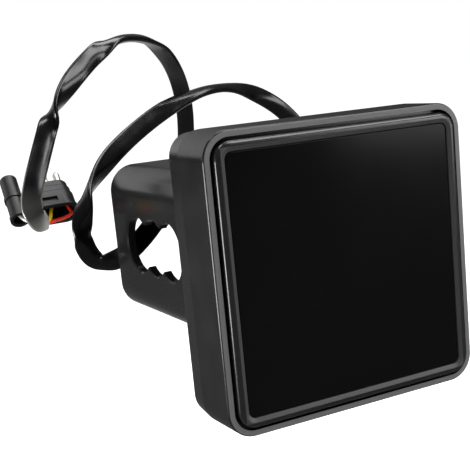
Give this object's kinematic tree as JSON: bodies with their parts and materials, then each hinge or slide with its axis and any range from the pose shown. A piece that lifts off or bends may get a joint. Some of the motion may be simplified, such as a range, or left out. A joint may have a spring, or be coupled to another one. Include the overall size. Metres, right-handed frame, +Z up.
{
  "type": "hitch brake light",
  "caption": "Square brake light on a hollow shank that slides into a towing hitch receiver, with a flat lead and a flat trailer plug.",
  "frame": {"origin": "on the shank's axis, in the plane of the housing's back, the shoulder that faces the receiver's mouth", "axes": "+Y along the shank towards its open rear end, +Z up, -Y the lit face, +X to the right as the lit face is looked at"},
  "size_m": [0.1494, 0.1936, 0.1123],
  "materials": {
    "housing": "satin black",
    "bezel": "glossy black",
    "lens": "smoked, polished",
    "gasket": "matte",
    "board": "solder mask",
    "lamp": "clear moulded",
    "resistor": "matte",
    "diode": "matte",
    "screw": "zinc plated",
    "grommet": "matte",
    "sleeve": "soft gloss",
    "wire_red": "soft gloss",
    "wire_yellow": "soft gloss",
    "wire_brown": "soft gloss",
    "wire_white": "soft gloss",
    "plug": "moulded, soft sheen",
    "contact": "nickel plated"
  },
  "bodies": {
    "root": {"rear_shell": "housing", "front_housing": "housing", "lens_bezel": "bezel", "smoked_lens": "lens", "lens_gasket": "gasket", "body_gasket": "gasket", "circuit_board": "board", "led_01": "lamp", "led_02": "lamp", "led_03": "lamp", "led_04": "lamp", "led_05": "lamp", "led_06": "lamp", "led_07": "lamp", "led_08": "lamp", "led_09": "lamp", "led_10": "lamp", "led_11": "lamp", "led_12": "lamp", "resistor_1": "resistor", "resistor_2": "resistor", "resistor_3": "resistor", "resistor_4": "resistor", "diode_1": "diode", "diode_2": "diode", "board_screws": "screw", "housing_screws": "screw", "lead_grommet": "grommet", "lead": "sleeve", "board_wire_red": "wire_red", "board_wire_yellow": "wire_yellow", "board_wire_brown": "wire_brown", "board_wire_white": "wire_white", "plug_wire_red": "wire_red", "plug_wire_yellow": "wire_yellow", "plug_wire_brown": "wire_brown", "plug_wire_white": "wire_white", "plug_shell": "plug", "plug_pin_1": "contact", "plug_pin_2": "contact", "plug_pin_3": "contact", "barrel_socket": "contact"}
  },
  "joints": []
}
